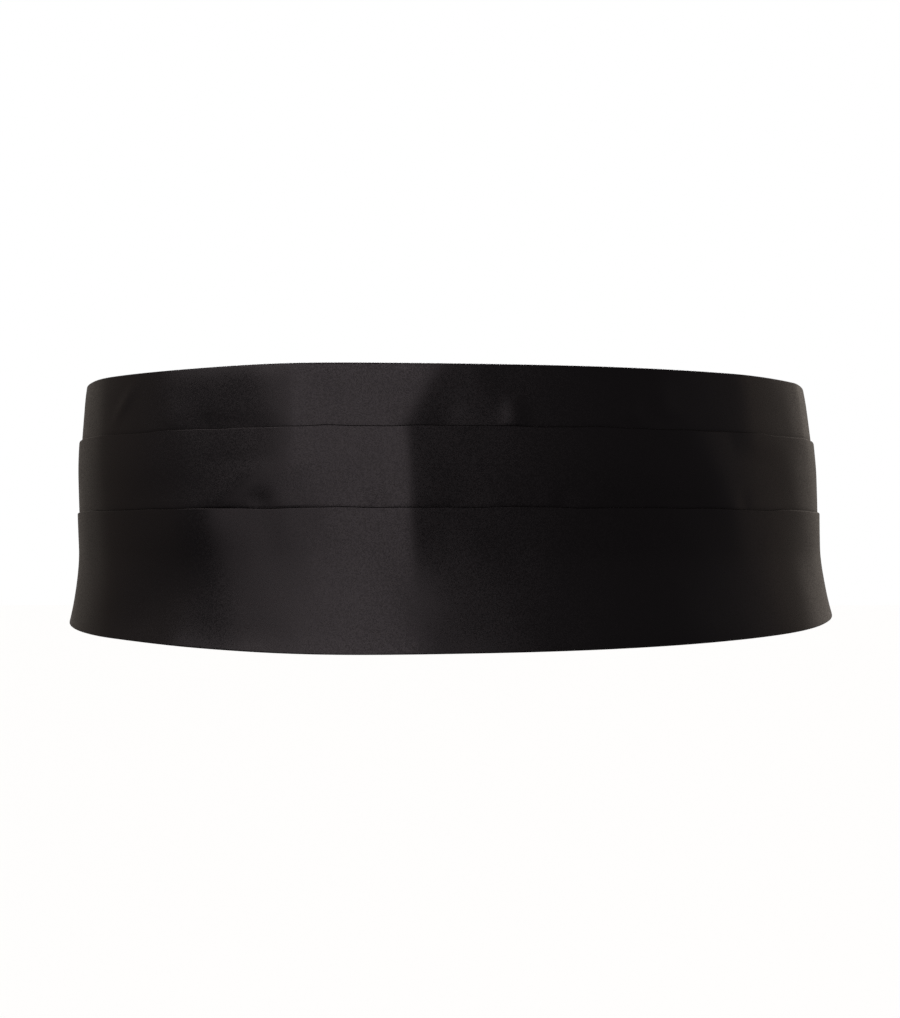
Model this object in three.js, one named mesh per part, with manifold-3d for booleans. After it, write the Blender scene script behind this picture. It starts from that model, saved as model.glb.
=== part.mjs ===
// A pleated cummerbund in black satin, in the shape it has when it is worn round a waist.
// Millimetres, +Z up. The wearer faces -Y, and the origin is the middle of the waist that holds it.
// The front is one piece of cloth with two pleats that open upwards. Its ends taper to two straps,
// which meet at the centre back in a hook and an eye. The strap on the +X side doubles back through a
// three-bar slider, which sets its length.
import * as THREE from "three";
import { mergeVertices } from "three/addons/utils/BufferGeometryUtils.js";
import Module from "manifold-3d";

// The figure inside: a rounded oblong section, upright round the strap, narrower above and wider below.
// lean, flare: how far its sides move in and out for each stretch of height called reach. ease: how softly.
// sway: how far its sides move towards -X for each mm of height. The back stays, and the front moves twice
// as far.
const figure = {
  halfBreadth: 162.7,
  halfDepth: 115,
  squareness: 2.4,
  upright: 15,
  reach: 45,
  ease: 0.3,
  lean: 6,
  flare: 9.2,
  sway: 0.024,
};

// The front panel. half: from the centre front to each end seam, along the waist. upperStep, lowerStep: how
// far each pleat stands out from the band above it. underlap: how far each band runs on under the pleat below
// it. settle: the height over which a band sinks in above a pleat.
const panel = {
  half: 300,
  cloth: 1,
  gap: 0.3,
  upperStep: 1.1,
  lowerStep: 0.8,
  underlap: 12,
  settle: 3.5,
  stations: 50,
};

// The lines that run round the panel. front: height at the centre front. side: how far the line has sunk
// by the side of the waist. tilt: how much it rises there towards +X, and falls towards -X. swell: how far it
// is pushed up where the front is fullest. end: height at the end seams.
const lines = {
  top: { front: 61.8, side: 7.2, tilt: -0.6, swell: 0.9, end: 28 },
  upperPleat: { front: 36.2, side: 5.7, tilt: -0.3, swell: 0.3, end: 14 },
  lowerPleat: { front: 2.5, side: 2.8, tilt: 0, swell: 0, end: -1.5 },
  hem: { front: -57.4, side: -12, tilt: 1.9, swell: -0.9, end: -28 },
};
// Places along the waist: the side, the start of the taper towards the end seams, and the fullest part.
const places = { side: 218, taperFrom: 205, swellAt: -62, swellReach: 48 };

// Soft upright ridges, where the stiff cloth breaks between one flat and the next. at: along the waist, at
// mid-height. slant: how far a ridge moves along the waist for each mm of height. rise: how far it stands
// out. reach: how far its sides run out on each side. roundness: 0 is a sharp crest. low, high: the heights
// between which it has its full rise. It fades over the next ridgeFade mm.
const ridges = [
  { at: -161, slant: -0.1, rise: 0.9, reach: 30, roundness: 0.15, low: -60, high: 62 },
  { at: -108, slant: 0.5, rise: 0.5, reach: 40, roundness: 0.3, low: -60, high: -24 },
  { at: -100, slant: 0, rise: 0.9, reach: 36, roundness: 0.2, low: -24, high: 0 },
  { at: -65.5, slant: 0, rise: 0.95, reach: 46, roundness: 0.16, low: 4, high: 62 },
  { at: -33.5, slant: 0.5, rise: 1.1, reach: 50, roundness: 0.08, low: 38, high: 62 },
  { at: -14, slant: 0, rise: 1.25, reach: 50, roundness: 0.04, low: 4, high: 34 },
  { at: -10, slant: 0, rise: 0.6, reach: 46, roundness: 0.2, low: -14, high: 0 },
  { at: 129, slant: -0.45, rise: 1, reach: 40, roundness: 0.2, low: -60, high: 40 },
  { at: 141, slant: 0, rise: 0.8, reach: 32, roundness: 0.3, low: 40, high: 62 },
  { at: 183, slant: 0, rise: 0.8, reach: 24, roundness: 0.1, low: 38, high: 62 },
];
const ridgeFade = 8;

// The straps. overlap: how far each is sewn inside the panel. spacing: between bends on its long runs.
const strap = { width: 30, cloth: 1.2, gap: 0.3, overlap: 16, spacing: 7, tail: 26 };

// The metal pieces. rise: their height, which leaves the strap some room. rail: beside a slot.
const metal = { sheet: 1.2, barWidth: 2.4, gap: 0.3, rail: 2.4, rise: 36.8, corner: 2, slotRoom: 0.8 };
// The hook and the eye, as distances from the centre back along the waist.
const hook = { strapBar: 12, slot: 2.8, tongueRise: 14, bend: -4, lip: 6 };
const eye = { strapBar: -14, wire: 1.6 };
// The slider. middle: where its middle bar is, along the waist. pitch: from one bar to the next.
const slider = { middle: 56, pitch: 11 };

const colours = { satin: 0x1b1819, webbing: 0x141314, nickel: 0xb9b7b2 };

// ---- the waist line -------------------------------------------------------------------------------
class WaistLine extends THREE.Curve {
  // t 0.5 is the centre front, and t 0 and 1 are the centre back.
  getPoint(t, target = new THREE.Vector3()) {
    const turn = (t - 0.5) * 2 * Math.PI;
    const squared = (v) => Math.sign(v) * Math.abs(v) ** (2 / figure.squareness);
    const [x, y] = [squared(Math.sin(turn)), -squared(Math.cos(turn))];
    return target.set(figure.halfBreadth * x, figure.halfDepth * y, 0);
  }
}
const waist = new WaistLine();
waist.arcLengthDivisions = 1440;
const girth = waist.getLength();

// How much wider the figure is at a height than at the waist.
function figureScale(z) {
  const share = Math.max(0, Math.abs(z) - figure.upright) / figure.reach;
  const change = (z > 0 ? -figure.lean : figure.flare) * (Math.hypot(share, figure.ease) - figure.ease);
  return 1 + change / figure.halfBreadth;
}

// The point at a distance along the waist from the centre front, at a height, that far out from the figure.
function onFigure(along, out, z) {
  const u = THREE.MathUtils.clamp(0.5 + along / girth, 0, 1);
  const point = waist.getPointAt(u).multiplyScalar(figureScale(z));
  const tangent = waist.getTangentAt(u);
  point.add(new THREE.Vector3(tangent.y * out, -tangent.x * out, z));
  point.x -= figure.sway * z * (1 - point.y / figure.halfDepth);
  return point;
}

// The same, measured from the centre back. Positive is on the +X side.
function onBack(fromBack, out, z = 0) {
  const side = fromBack < 0 ? -1 : 1;
  return onFigure(side * (girth / 2 - Math.abs(fromBack)), out, z);
}

// ---- outlines -------------------------------------------------------------------------------------
const { lerp, smoothstep } = THREE.MathUtils;
const ease = (share) => smoothstep(share, 0, 1);

// Points round a bend. The angles are in half turns, and 0 points along the first axis.
function bend(x, y, radius, from, to, steps) {
  return Array.from({ length: steps + 1 }, (_, i) => {
    const angle = lerp(from, to, i / steps) * Math.PI;
    return new THREE.Vector2(x + radius * Math.cos(angle), y + radius * Math.sin(angle));
  });
}

// Points from one place to another, both ends left out, on a straight line or an eased one.
function run(x0, y0, x1, y1, count, shape = (share) => share) {
  return Array.from({ length: count }, (_, i) => {
    const share = (i + 1) / (count + 1);
    return new THREE.Vector2(lerp(x0, x1, share), lerp(y0, y1, shape(share)));
  });
}

// The directions across a centreline, longer where it bends, so that a ribbon keeps its thickness there.
function acrossAt(centreline) {
  const legs = centreline.slice(1).map((p, i) => p.clone().sub(centreline[i]).normalize());
  return centreline.map((p, i) => {
    const arriving = legs[Math.max(i - 1, 0)];
    const leaving = legs[Math.min(i, legs.length - 1)];
    const mean = arriving.clone().add(leaving);
    return new THREE.Vector2(-mean.y, mean.x).multiplyScalar(2 / mean.lengthSq());
  });
}

// The outline of a ribbon of that thickness round a centreline.
function ribbon(centreline, thickness) {
  const across = acrossAt(centreline);
  const left = centreline.map((p, i) => p.clone().addScaledVector(across[i], thickness / 2));
  const right = centreline.map((p, i) => p.clone().addScaledVector(across[i], -thickness / 2));
  return new THREE.Shape([...left, ...right.reverse()]);
}

// ---- the front panel ------------------------------------------------------------------------------
// A line's height at a distance along the waist.
function lineHeight({ front, side, tilt, swell, end }, along) {
  const round = along / places.side;
  const full = Math.exp(-(((along - places.swellAt) / places.swellReach) ** 2));
  const worn = front - side * round ** 2 + tilt * round + swell * full;
  const tapered = ease((Math.abs(along) - places.taperFrom) / (panel.half - places.taperFrom));
  return lerp(worn, end, tapered);
}

// A height at the centre front, carried round to where the lines are closer together.
function carriedHeight(frontHeight, along) {
  const { hem, lowerPleat, upperPleat, top } = lines;
  const order = [hem, lowerPleat, upperPleat, top];
  const above = order.findIndex((line, i) => i === 3 || (i > 0 && frontHeight <= line.front));
  const [a, b] = [order[above - 1], order[above]];
  const share = (frontHeight - a.front) / (b.front - a.front);
  return lerp(lineHeight(a, along), lineHeight(b, along), share);
}

// How far the ridges lift the cloth. A ridge's sides are steepest at its crest and run out to nothing.
function lifted(along, z) {
  return ridges.reduce((sum, ridge) => {
    const x = (along - ridge.at - ridge.slant * z) / ridge.reach;
    const spread = Math.hypot(x, ridge.roundness) - ridge.roundness;
    const side = Math.max(0, 1 - spread / (Math.hypot(1, ridge.roundness) - ridge.roundness));
    const above = ease((z - ridge.low + ridgeFade) / ridgeFade);
    const below = ease((ridge.high + ridgeFade - z) / ridgeFade);
    return sum + ridge.rise * side ** 2 * above * below;
  }, 0);
}

// The section of the panel at the centre front: out from the figure, and height. From the top edge down,
// each band runs on under the next pleat, turns up behind it, turns again at the pleat's edge and comes down.
function panelSection() {
  const layer = panel.cloth + panel.gap;
  const turn = layer / 2;
  const topBand = -panel.cloth / 2;
  const middleBand = topBand + panel.upperStep;
  const lowerBand = middleBand + panel.lowerStep;
  const { top, upperPleat, lowerPleat, hem } = lines;
  // One fold, from just above its edge to the start of the band below.
  const fold = (pleat, above, below) => {
    const under = below - 2 * layer;
    const valley = pleat.front - panel.underlap;
    return [
      new THREE.Vector2(above, pleat.front + panel.settle),
      new THREE.Vector2(under, pleat.front - turn),
      ...bend(under + turn, valley, turn, -1, 0, 3),
      ...bend(below - turn, pleat.front - turn, turn, 1, 0, 3),
      new THREE.Vector2(below, valley),
    ];
  };
  const centreline = [
    new THREE.Vector2(topBand, top.front),
    ...run(topBand, top.front, topBand, upperPleat.front + panel.settle, 2),
    ...fold(upperPleat, topBand, middleBand),
    ...run(middleBand, upperPleat.front - panel.underlap, middleBand, lowerPleat.front + panel.settle, 2),
    ...fold(lowerPleat, middleBand, lowerBand),
    ...run(lowerBand, lowerPleat.front - panel.underlap, lowerBand, hem.front, 4),
    new THREE.Vector2(lowerBand, hem.front),
  ];
  return ribbon(centreline, panel.cloth);
}

function panelGeometry() {
  const geometry = new THREE.ExtrudeGeometry(panelSection(), {
    depth: 2 * panel.half,
    steps: panel.stations,
    bevelEnabled: false,
  });
  const position = geometry.attributes.position;
  for (let i = 0; i < position.count; i++) {
    const out = position.getX(i);
    const along = panel.half - position.getZ(i);
    const z = carriedHeight(position.getY(i), along);
    const point = onFigure(along, out + lifted(along, z), z);
    position.setXYZ(i, ...point);
  }
  return geometry;
}

// ---- the straps -----------------------------------------------------------------------------------
const layerOut = strap.cloth + strap.gap;
const strapOut = panel.upperStep - 3 * panel.cloth - 2 * panel.gap - strap.gap - strap.cloth / 2;
const strapStart = girth / 2 - panel.half + strap.overlap;
// The radius at which a layer turns round a bar, measured to the middle of the layer.
const turnRound = (width, thickness, layer) => Math.hypot(width, thickness) / 2 + metal.gap + layer / 2;
const barTurn = turnRound(metal.barWidth, metal.sheet, strap.cloth);
const eyeTurn = turnRound(eye.wire, eye.wire, strap.cloth);
const hookTurn = turnRound(eye.wire, eye.wire, metal.sheet);
const underSlider = metal.sheet / 2 + metal.gap + strap.cloth / 2;
const hookOut = strapOut + barTurn;
const eyeOut = hookOut - hookTurn;
const sliderOut = strapOut + layerOut + underSlider;

// Each route is a list of points: along from the centre back, and out from the figure.
function eyeStrapRoute() {
  const bar = eye.strapBar;
  const tailOut = eyeOut - eyeTurn;
  return [
    new THREE.Vector2(-strapStart, strapOut),
    new THREE.Vector2(bar - 26, strapOut),
    ...run(bar - 26, strapOut, bar, eyeOut + eyeTurn, 6, ease),
    ...bend(bar, eyeOut, eyeTurn, 0.5, -0.5, 8),
    new THREE.Vector2(bar - strap.tail, tailOut),
  ];
}

function sliderStrapRoute() {
  const { middle, pitch } = slider;
  const [near, far] = [middle - pitch, middle + pitch];
  const underBar = sliderOut - underSlider;
  const overBar = sliderOut + barTurn + layerOut;
  const bar = hook.strapBar;
  return [
    new THREE.Vector2(strapStart, strapOut),
    new THREE.Vector2(far + 14, strapOut),
    ...run(far + 14, strapOut, far, underBar, 2, ease),
    new THREE.Vector2(far, underBar),
    ...run(far, underBar, middle + 1, overBar, 5, ease),
    new THREE.Vector2(middle + 1, overBar),
    new THREE.Vector2(middle - 1, overBar),
    ...run(middle - 1, overBar, near, underBar, 5, ease),
    new THREE.Vector2(near, underBar),
    ...run(near, underBar, bar, hookOut + barTurn, 4, ease),
    ...bend(bar, hookOut, barTurn, 0.5, 1.5, 8),
    new THREE.Vector2(near, strapOut),
    ...run(near, strapOut, middle, sliderOut - barTurn, 3, ease),
    ...bend(middle, sliderOut, barTurn, -0.5, 0.5, 8),
    new THREE.Vector2(middle - 1.5, sliderOut + barTurn - 0.2),
  ];
}

// Fills a route's long runs with points, so that it can be bent round the waist.
function filled(route) {
  return route.flatMap((p, i) => {
    const before = route[i - 1] ?? p;
    const count = Math.max(1, Math.round(before.distanceTo(p) / strap.spacing));
    return Array.from({ length: count }, (_, k) => before.clone().lerp(p, (k + 1) / count));
  });
}

// A bar of webbing, one step for each point of the route, laid along it.
function strapGeometry(route) {
  const centreline = filled(route);
  const across = acrossAt(centreline);
  const steps = centreline.length - 1;
  const half = strap.width / 2;
  const section = ribbon([new THREE.Vector2(0, -half), new THREE.Vector2(0, half)], strap.cloth);
  const geometry = new THREE.ExtrudeGeometry(section, { depth: steps, steps, bevelEnabled: false });
  const position = geometry.attributes.position;
  for (let i = 0; i < position.count; i++) {
    const step = Math.round(position.getZ(i));
    const spot = centreline[step].clone().addScaledVector(across[step], position.getX(i));
    position.setXYZ(i, ...onBack(spot.x, spot.y, position.getY(i)));
  }
  return geometry;
}

// ---- the metal pieces -----------------------------------------------------------------------------
const wasm = await Module();
wasm.setup();

function solidFrom(geometry) {
  const bare = new THREE.BufferGeometry();
  bare.setAttribute("position", geometry.attributes.position);
  bare.setIndex(geometry.index);
  const merged = mergeVertices(bare, 1e-4);
  const mesh = new wasm.Mesh({
    numProp: 3,
    vertProperties: merged.attributes.position.array,
    triVerts: new Uint32Array(merged.index.array),
  });
  return new wasm.Manifold(mesh);
}

function geometryFrom(solid) {
  const { vertProperties, triVerts } = solid.getMesh();
  return new THREE.BufferGeometry()
    .setAttribute("position", new THREE.BufferAttribute(vertProperties, 3))
    .setIndex(new THREE.BufferAttribute(triVerts, 1));
}

// A flat plate in x and z, its middle on y 0.
function plate(outline, thickness) {
  const shape = new THREE.Shape(outline);
  const geometry = new THREE.ExtrudeGeometry(shape, { depth: thickness, bevelEnabled: false });
  return solidFrom(geometry.rotateX(Math.PI / 2).translate(0, thickness / 2, 0));
}

// A slot for the strap, to cut from a plate.
function slotCutter(x0, x1) {
  const box = new THREE.BoxGeometry(x1 - x0, 10 * metal.sheet, strap.width + 2 * metal.slotRoom);
  return solidFrom(box.translate((x0 + x1) / 2, 0, 0));
}

// One side of a plate with rounded corners: face is 1 for the +X side and -1 for the other.
function roundedSide(x, face) {
  const r = metal.corner;
  const z = metal.rise / 2 - r;
  const turn = face > 0 ? 0 : 1;
  return [
    ...bend(x - face * r, -face * z, r, turn - 0.5, turn, 4),
    ...bend(x - face * r, face * z, r, turn, turn + 0.5, 4),
  ];
}

function sliderGeometry() {
  const half = metal.barWidth / 2;
  const side = slider.pitch + half;
  return geometryFrom(
    plate([...roundedSide(side, 1), ...roundedSide(-side, -1)], metal.sheet)
      .subtract(slotCutter(half - slider.pitch, -half))
      .subtract(slotCutter(half, slider.pitch - half)),
  );
}

function eyeGeometry() {
  const half = eye.wire / 2;
  const outline = [...roundedSide(hook.bend + half, 1), ...roundedSide(eye.strapBar - half, -1)];
  return geometryFrom(plate(outline, eye.wire).subtract(slotCutter(eye.strapBar + half, hook.bend - half)));
}

// A slotted plate for the strap, narrowing to a tongue that turns in round the eye's bar.
function hookGeometry() {
  const slotEnd = hook.strapBar - metal.barWidth / 2;
  const shoulder = slotEnd - hook.slot - metal.rail;
  const [wide, narrow] = [metal.rise / 2, hook.tongueRise / 2];
  const outline = [
    ...roundedSide(hook.strapBar + metal.barWidth / 2, 1),
    new THREE.Vector2(shoulder, wide),
    new THREE.Vector2(shoulder - 3, narrow),
    new THREE.Vector2(hook.bend, narrow),
    new THREE.Vector2(hook.bend, -narrow),
    new THREE.Vector2(shoulder - 3, -narrow),
    new THREE.Vector2(shoulder, -wide),
  ];
  const tongueRoute = [
    new THREE.Vector2(hook.bend + 2, 0),
    ...bend(hook.bend, -hookTurn, hookTurn, 0.5, 1.5, 8),
    new THREE.Vector2(hook.bend + hook.lip, -2 * hookTurn),
  ];
  const tongue = new THREE.ExtrudeGeometry(ribbon(tongueRoute, metal.sheet), {
    depth: hook.tongueRise,
    bevelEnabled: false,
  });
  tongue.translate(0, 0, -hook.tongueRise / 2);
  return geometryFrom(
    plate(outline, metal.sheet)
      .subtract(slotCutter(slotEnd - hook.slot, slotEnd))
      .add(solidFrom(tongue)),
  );
}

// ---- the whole ------------------------------------------------------------------------------------
const satin = new THREE.MeshStandardMaterial({ color: colours.satin, roughness: 0.42, metalness: 0 });
const webbing = new THREE.MeshStandardMaterial({ color: colours.webbing, roughness: 0.75, metalness: 0 });
const nickel = new THREE.MeshStandardMaterial({ color: colours.nickel, roughness: 0.28, metalness: 1 });

function piece(name, geometry, material) {
  const mesh = new THREE.Mesh(geometry, material);
  mesh.name = name;
  return mesh;
}

const cummerbund = new THREE.Group();
cummerbund.add(
  piece("front_panel", panelGeometry(), satin),
  piece("strap_with_eye", strapGeometry(eyeStrapRoute()), webbing),
  piece("strap_with_slider", strapGeometry(sliderStrapRoute()), webbing),
);

const eyePiece = piece("eye", eyeGeometry(), nickel);
const hookPiece = piece("hook", hookGeometry(), nickel);
eyePiece.position.y = figure.halfDepth + eyeOut;
hookPiece.position.y = figure.halfDepth + hookOut;
cummerbund.add(eyePiece, hookPiece);

// The slider lies flat on the curve of the back, its face turned outwards.
const sliderPiece = piece("slider", sliderGeometry(), nickel);
const tangent = onBack(slider.middle + 1, 0).sub(onBack(slider.middle - 1, 0));
sliderPiece.position.copy(onBack(slider.middle, sliderOut));
sliderPiece.rotation.z = Math.atan2(tangent.y, tangent.x);
cummerbund.add(sliderPiece);

export default cummerbund;
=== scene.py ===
import math

import bmesh
import bpy
import numpy as np
from mathutils import Matrix, Vector


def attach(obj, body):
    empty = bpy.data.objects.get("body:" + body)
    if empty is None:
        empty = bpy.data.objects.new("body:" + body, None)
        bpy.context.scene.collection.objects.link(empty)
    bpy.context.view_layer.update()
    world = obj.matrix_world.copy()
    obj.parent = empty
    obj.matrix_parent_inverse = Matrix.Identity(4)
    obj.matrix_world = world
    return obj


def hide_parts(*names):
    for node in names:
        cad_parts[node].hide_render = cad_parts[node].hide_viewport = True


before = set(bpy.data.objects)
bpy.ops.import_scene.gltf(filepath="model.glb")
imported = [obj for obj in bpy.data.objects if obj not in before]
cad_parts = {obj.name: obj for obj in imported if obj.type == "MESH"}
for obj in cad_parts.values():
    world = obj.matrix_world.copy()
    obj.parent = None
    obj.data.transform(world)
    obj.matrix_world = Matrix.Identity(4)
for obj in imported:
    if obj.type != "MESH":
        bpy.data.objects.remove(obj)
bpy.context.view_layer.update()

mm = 0.001


def linearColour(hexCode):
    parts = [int(hexCode[i:i + 2], 16) / 255 for i in (1, 3, 5)]
    return tuple(c / 12.92 if c <= 0.04045 else ((c + 0.055) / 1.055) ** 2.4 for c in parts) + (1.0,)


def addNode(tree, kind, settings=None, links=None, **attributes):
    node = tree.nodes.new(kind)
    for name, value in attributes.items():
        setattr(node, name, value)
    for name, value in (settings or {}).items():
        node.inputs[name].default_value = value
    for name, source in (links or {}).items():
        tree.links.new(source, node.inputs[name])
    return node


def startMaterial(name):
    material = bpy.data.materials.new(name)
    material.use_nodes = True
    material.node_tree.nodes.clear()
    return material, material.node_tree


def endMaterial(tree, shader):
    addNode(tree, "ShaderNodeOutputMaterial", links={"Surface": shader.outputs["BSDF"]})


satinLook = {
    "colour": "#0e0b0d", "gloss": "#fff2f8", "ior": 1.5, "roughness": 0.3, "glossSpread": 0.1,
    "sheenColour": "#b5b0b6", "sheen": 0.12, "sheenRoughness": 0.35,
    "threadMm": 0.34, "floatMm": 1.2, "grainMm": 0.4, "speckMm": 0.42,  # coarser than real, so that they show
    "weaveDepthMm": 0.07, "weaveStrength": 0.08,
}


def wovenSatin():
    # warp satin, woven: long floats shine softly in broad patches, go black where they turn away, and
    # differ a little in gloss from one to the next, which gives a fine grain
    material, tree = startMaterial("wovenSatin")
    cloth = addNode(tree, "ShaderNodeUVMap", uv_map="cloth")  # 1 unit is 1 m along and across the cloth
    perFloat, perThread = 1 / (satinLook["floatMm"] * mm), 1 / (satinLook["threadMm"] * mm)
    threads = addNode(tree, "ShaderNodeMapping", links={"Vector": cloth.outputs["UV"]},
                      settings={"Scale": (perFloat, perThread, 1)})
    floats = addNode(tree, "ShaderNodeTexNoise", links={"Vector": threads.outputs["Vector"]},
                     settings={"Scale": 1.0, "Detail": 2.0, "Roughness": 0.6})
    grain = addNode(tree, "ShaderNodeTexNoise", links={"Vector": cloth.outputs["UV"]},
                    settings={"Scale": 1 / (satinLook["grainMm"] * mm), "Detail": 3.0, "Roughness": 0.7})
    relief = addNode(tree, "ShaderNodeMath", operation="ADD",
                     links={0: floats.outputs["Fac"], 1: grain.outputs["Fac"]})
    weave = addNode(tree, "ShaderNodeBump", links={"Height": relief.outputs["Value"]},
                    settings={"Strength": satinLook["weaveStrength"],
                              "Distance": satinLook["weaveDepthMm"] * mm})
    speck = satinLook["speckMm"] * mm  # the crown of one float, glossier or duller than the next
    crowns = addNode(tree, "ShaderNodeVectorMath", operation="SNAP", links={0: cloth.outputs["UV"]},
                     settings={1: (speck, speck, 1)})
    specks = addNode(tree, "ShaderNodeTexWhiteNoise", links={"Vector": crowns.outputs["Vector"]})
    glossRange = addNode(tree, "ShaderNodeMapRange", links={"Value": specks.outputs["Value"]},
                         settings={"To Min": satinLook["roughness"] - satinLook["glossSpread"],
                                   "To Max": satinLook["roughness"] + satinLook["glossSpread"]})
    shader = addNode(tree, "ShaderNodeBsdfPrincipled",
                     settings={"Base Color": linearColour(satinLook["colour"]), "IOR": satinLook["ior"],
                               "Specular Tint": linearColour(satinLook["gloss"]),
                               "Sheen Weight": satinLook["sheen"],
                               "Sheen Roughness": satinLook["sheenRoughness"],
                               "Sheen Tint": linearColour(satinLook["sheenColour"])},
                     links={"Roughness": glossRange.outputs["Result"], "Normal": weave.outputs["Normal"]})
    endMaterial(tree, shader)
    return material


webbingLook = {
    "colour": "#0b0b0c", "ior": 1.45, "glossiest": 0.62, "dullest": 0.82,
    "sheenColour": "#918a88", "sheen": 0.25, "sheenRoughness": 0.5,
    "ribMm": 1.05, "pickMm": 0.62, "pickShare": 0.35, "fuzzMm": 0.4, "ribDepthMm": 0.16, "ribStrength": 0.8,
}


def wovenWebbing():
    # elastic webbing, woven in the rib: dull black, with fine cords along it and fainter picks across
    material, tree = startMaterial("wovenWebbing")
    cloth = addNode(tree, "ShaderNodeUVMap", uv_map="cloth")
    parts = addNode(tree, "ShaderNodeSeparateXYZ", links={"Vector": cloth.outputs["UV"]})
    waves = []
    for axis, pitch in (("Y", webbingLook["ribMm"]), ("X", webbingLook["pickMm"])):
        turns = addNode(tree, "ShaderNodeMath", operation="MULTIPLY", links={0: parts.outputs[axis]},
                        settings={1: 2 * math.pi / (pitch * mm)})
        waves.append(addNode(tree, "ShaderNodeMath", operation="SINE", links={0: turns.outputs["Value"]}))
    cords, picks = waves
    woven = addNode(tree, "ShaderNodeMath", operation="MULTIPLY_ADD", settings={1: webbingLook["pickShare"]},
                    links={0: picks.outputs["Value"], 2: cords.outputs["Value"]})
    fuzz = addNode(tree, "ShaderNodeTexNoise", links={"Vector": cloth.outputs["UV"]},
                   settings={"Scale": 1 / (webbingLook["fuzzMm"] * mm), "Detail": 2.0})
    relief = addNode(tree, "ShaderNodeMath", operation="ADD",
                     links={0: woven.outputs["Value"], 1: fuzz.outputs["Fac"]})
    weave = addNode(tree, "ShaderNodeBump", links={"Height": relief.outputs["Value"]},
                    settings={"Strength": webbingLook["ribStrength"],
                              "Distance": webbingLook["ribDepthMm"] * mm})
    glossRange = addNode(tree, "ShaderNodeMapRange", links={"Value": relief.outputs["Value"]},
                         settings={"From Min": -1.0, "From Max": 2.0,
                                   "To Min": webbingLook["glossiest"], "To Max": webbingLook["dullest"]})
    shader = addNode(tree, "ShaderNodeBsdfPrincipled",
                     settings={"Base Color": linearColour(webbingLook["colour"]), "IOR": webbingLook["ior"],
                               "Sheen Weight": webbingLook["sheen"],
                               "Sheen Roughness": webbingLook["sheenRoughness"],
                               "Sheen Tint": linearColour(webbingLook["sheenColour"])},
                     links={"Roughness": glossRange.outputs["Result"], "Normal": weave.outputs["Normal"]})
    endMaterial(tree, shader)
    return material


nickelLook = {
    "colour": "#cdc7bb", "glossiest": 0.12, "dullest": 0.34,
    "rubMm": 0.6, "rubStretch": 0.12, "patchMm": 3.0, "waveMm": 0.02, "waveStrength": 0.15,
}


def platedNickel():
    # nickel plated on pressed steel: bright and slightly warm, with fine rubbing marks and soft wavy
    # reflections
    material, tree = startMaterial("platedNickel")
    where = addNode(tree, "ShaderNodeTexCoord")
    rub = nickelLook["rubMm"] * mm
    stretched = addNode(tree, "ShaderNodeMapping", links={"Vector": where.outputs["Object"]},
                        settings={"Scale": (nickelLook["rubStretch"] / rub, 1 / rub, 1 / rub)})
    rubbing = addNode(tree, "ShaderNodeTexNoise", links={"Vector": stretched.outputs["Vector"]},
                      settings={"Scale": 1.0, "Detail": 4.0, "Roughness": 0.65})
    dulled = addNode(tree, "ShaderNodeTexNoise", links={"Vector": where.outputs["Object"]},
                     settings={"Scale": 1 / (nickelLook["patchMm"] * mm), "Detail": 2.0})
    wear = addNode(tree, "ShaderNodeMath", operation="ADD",
                   links={0: rubbing.outputs["Fac"], 1: dulled.outputs["Fac"]})
    glossRange = addNode(tree, "ShaderNodeMapRange", links={"Value": wear.outputs["Value"]},
                         settings={"From Min": 0.6, "From Max": 1.4,
                                   "To Min": nickelLook["glossiest"], "To Max": nickelLook["dullest"]})
    wavy = addNode(tree, "ShaderNodeBump", links={"Height": wear.outputs["Value"]},
                   settings={"Strength": nickelLook["waveStrength"], "Distance": nickelLook["waveMm"] * mm})
    shader = addNode(tree, "ShaderNodeBsdfPrincipled",
                     settings={"Base Color": linearColour(nickelLook["colour"]), "Metallic": 1.0},
                     links={"Roughness": glossRange.outputs["Result"], "Normal": wavy.outputs["Normal"]})
    endMaterial(tree, shader)
    return material


threadLook = {
    "colour": "#0a0a0a", "roughness": 0.5, "sheen": 0.2, "sheenRoughness": 0.4,
    "twistScale": 260.0,  # about one line to a stitch, coarser than real, so that it shows
    "twistBend": 1.5, "twistDepthMm": 0.05, "twistStrength": 0.6,
}


def spunThread():
    # polyester thread, spun: black with a faint twist line across each stitch
    material, tree = startMaterial("spunThread")
    where = addNode(tree, "ShaderNodeTexCoord")
    twist = addNode(tree, "ShaderNodeTexWave", bands_direction="DIAGONAL",
                    settings={"Scale": threadLook["twistScale"], "Distortion": threadLook["twistBend"]},
                    links={"Vector": where.outputs["Object"]})
    strands = addNode(tree, "ShaderNodeBump", links={"Height": twist.outputs["Fac"]},
                      settings={"Strength": threadLook["twistStrength"],
                                "Distance": threadLook["twistDepthMm"] * mm})
    shader = addNode(tree, "ShaderNodeBsdfPrincipled",
                     settings={"Base Color": linearColour(threadLook["colour"]),
                               "Roughness": threadLook["roughness"], "Sheen Weight": threadLook["sheen"],
                               "Sheen Roughness": threadLook["sheenRoughness"]},
                     links={"Normal": strands.outputs["Normal"]})
    endMaterial(tree, shader)
    return material


# what the garment goes round, in mm: a rounded oblong that is a little smaller higher up and larger lower down
figure = {
    "halfBreadth": 162.7, "halfDepth": 115, "squareness": 2.4, "upright": 15, "reach": 45,
    "ease": 0.3, "lean": 6, "flare": 9.2, "sway": 0.024,
}


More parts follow.
